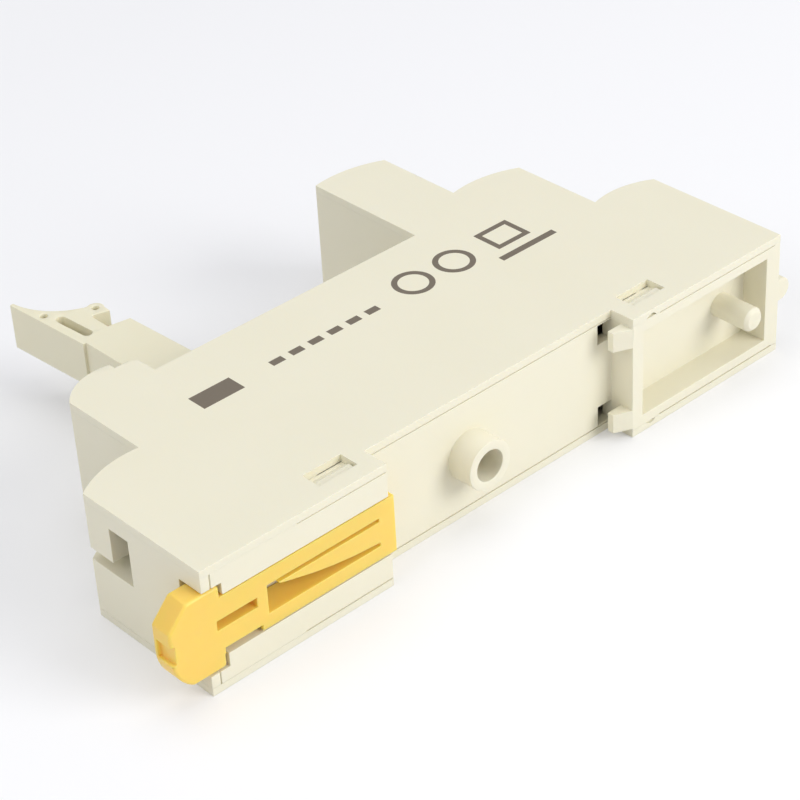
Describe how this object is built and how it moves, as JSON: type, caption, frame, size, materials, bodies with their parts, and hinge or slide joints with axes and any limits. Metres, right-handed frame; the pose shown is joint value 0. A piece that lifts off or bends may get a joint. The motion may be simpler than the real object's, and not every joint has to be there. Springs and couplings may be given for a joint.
{
  "type": "relay socket",
  "caption": "Slim rail-mount relay socket with stepped screw terminals on both ends, a slide foot for the rail and a release lever in the relay bay.",
  "frame": {"origin": "under the middle of the whole object, on the surface it lies on", "axes": "+X from the coil end to the contact end, +Y from the rail face to the relay side, +Z across the width, out of the upper side cover"},
  "size_m": [0.0899, 0.0608, 0.0152],
  "materials": {
    "housing": "satin",
    "lever": "satin",
    "foot": "satin",
    "strip": "satin",
    "clip": "satin",
    "steel": "satin"
  },
  "bodies": {
    "housing": {"main_body": "housing", "top_cover": "housing", "bottom_cover": "housing", "contact_strip_1": "strip", "contact_strip_2": "strip", "contact_strip_3": "strip", "contact_strip_4": "strip", "contact_strip_5": "strip", "contact_strip_6": "strip", "contact_strip_7": "strip", "contact_strip_8": "strip", "blade_clip_1": "clip", "blade_clip_2": "clip", "blade_clip_3": "clip", "blade_clip_4": "clip", "blade_clip_5": "clip", "blade_clip_6": "clip", "blade_clip_7": "clip", "blade_clip_8": "clip"},
    "foot": {"slide_foot": "foot"},
    "lever": {"release_lever": "lever"},
    "clamp_1": {"clamp_washer_1": "steel"},
    "screw_1": {"terminal_screw_1": "steel"},
    "clamp_2": {"clamp_washer_2": "steel"},
    "screw_2": {"terminal_screw_2": "steel"},
    "clamp_3": {"clamp_washer_3": "steel"},
    "screw_3": {"terminal_screw_3": "steel"},
    "clamp_4": {"clamp_washer_4": "steel"},
    "screw_4": {"terminal_screw_4": "steel"},
    "clamp_5": {"clamp_washer_5": "steel"},
    "screw_5": {"terminal_screw_5": "steel"},
    "clamp_6": {"clamp_washer_6": "steel"},
    "screw_6": {"terminal_screw_6": "steel"},
    "clamp_7": {"clamp_washer_7": "steel"},
    "screw_7": {"terminal_screw_7": "steel"},
    "clamp_8": {"clamp_washer_8": "steel"},
    "screw_8": {"terminal_screw_8": "steel"}
  },
  "joints": [
    {"name": "foot_slide", "type": "slide", "parent": "housing", "child": "foot", "axis": [-1, 0, 0], "range_m": [0, 0.0025], "stiffness_N_per_m": 1500},
    {"name": "lever_swing", "type": "hinge", "parent": "housing", "child": "lever", "pos_m": [-0.01655, -0.00305, 0.0076], "axis": [0, 0, 1], "range_deg": [0, 14]},
    {"name": "clamp_lift_1", "type": "slide", "parent": "housing", "child": "clamp_1", "axis": [0, 1, 0], "range_m": [0, 0.002]},
    {"name": "screw_turn_1", "type": "hinge", "parent": "clamp_1", "child": "screw_1", "pos_m": [-0.03585, -0.01625, 0.00995], "axis": [0, 1, 0], "range_deg": [0, 1440]},
    {"name": "clamp_lift_2", "type": "slide", "parent": "housing", "child": "clamp_2", "axis": [0, 1, 0], "range_m": [0, 0.002]},
    {"name": "screw_turn_2", "type": "hinge", "parent": "clamp_2", "child": "screw_2", "pos_m": [-0.03585, -0.01625, 0.00365], "axis": [0, 1, 0], "range_deg": [0, 1440]},
    {"name": "clamp_lift_3", "type": "slide", "parent": "housing", "child": "clamp_3", "axis": [0, 1, 0], "range_m": [0, 0.002]},
    {"name": "screw_turn_3", "type": "hinge", "parent": "clamp_3", "child": "screw_3", "pos_m": [0.02005, 0.0124, 0.00995], "axis": [0, 1, 0], "range_deg": [0, 1440]},
    {"name": "clamp_lift_4", "type": "slide", "parent": "housing", "child": "clamp_4", "axis": [0, 1, 0], "range_m": [0, 0.002]},
    {"name": "screw_turn_4", "type": "hinge", "parent": "clamp_4", "child": "screw_4", "pos_m": [0.02005, 0.0124, 0.00365], "axis": [0, 1, 0], "range_deg": [0, 1440]},
    {"name": "clamp_lift_5", "type": "slide", "parent": "housing", "child": "clamp_5", "axis": [0, 1, 0], "range_m": [0, 0.002]},
    {"name": "screw_turn_5", "type": "hinge", "parent": "clamp_5", "child": "screw_5", "pos_m": [0.02855, -0.00085, 0.00995], "axis": [0, 1, 0], "range_deg": [0, 1440]},
    {"name": "clamp_lift_6", "type": "slide", "parent": "housing", "child": "clamp_6", "axis": [0, 1, 0], "range_m": [0, 0.002]},
    {"name": "screw_turn_6", "type": "hinge", "parent": "clamp_6", "child": "screw_6", "pos_m": [0.02855, -0.00085, 0.00365], "axis": [0, 1, 0], "range_deg": [0, 1440]},
    {"name": "clamp_lift_7", "type": "slide", "parent": "housing", "child": "clamp_7", "axis": [0, 1, 0], "range_m": [0, 0.002]},
    {"name": "screw_turn_7", "type": "hinge", "parent": "clamp_7", "child": "screw_7", "pos_m": [0.03795, -0.01445, 0.00995], "axis": [0, 1, 0], "range_deg": [0, 1440]},
    {"name": "clamp_lift_8", "type": "slide", "parent": "housing", "child": "clamp_8", "axis": [0, 1, 0], "range_m": [0, 0.002]},
    {"name": "screw_turn_8", "type": "hinge", "parent": "clamp_8", "child": "screw_8", "pos_m": [0.03795, -0.01445, 0.00365], "axis": [0, 1, 0], "range_deg": [0, 1440]}
  ],
  "couplings": [
    {"joint": "screw_turn_1", "follows": "clamp_lift_1", "rad_per_m": 12566},
    {"joint": "screw_turn_2", "follows": "clamp_lift_2", "rad_per_m": 12566},
    {"joint": "screw_turn_3", "follows": "clamp_lift_3", "rad_per_m": 12566},
    {"joint": "screw_turn_4", "follows": "clamp_lift_4", "rad_per_m": 12566},
    {"joint": "screw_turn_5", "follows": "clamp_lift_5", "rad_per_m": 12566},
    {"joint": "screw_turn_6", "follows": "clamp_lift_6", "rad_per_m": 12566},
    {"joint": "screw_turn_7", "follows": "clamp_lift_7", "rad_per_m": 12566},
    {"joint": "screw_turn_8", "follows": "clamp_lift_8", "rad_per_m": 12566}
  ]
}
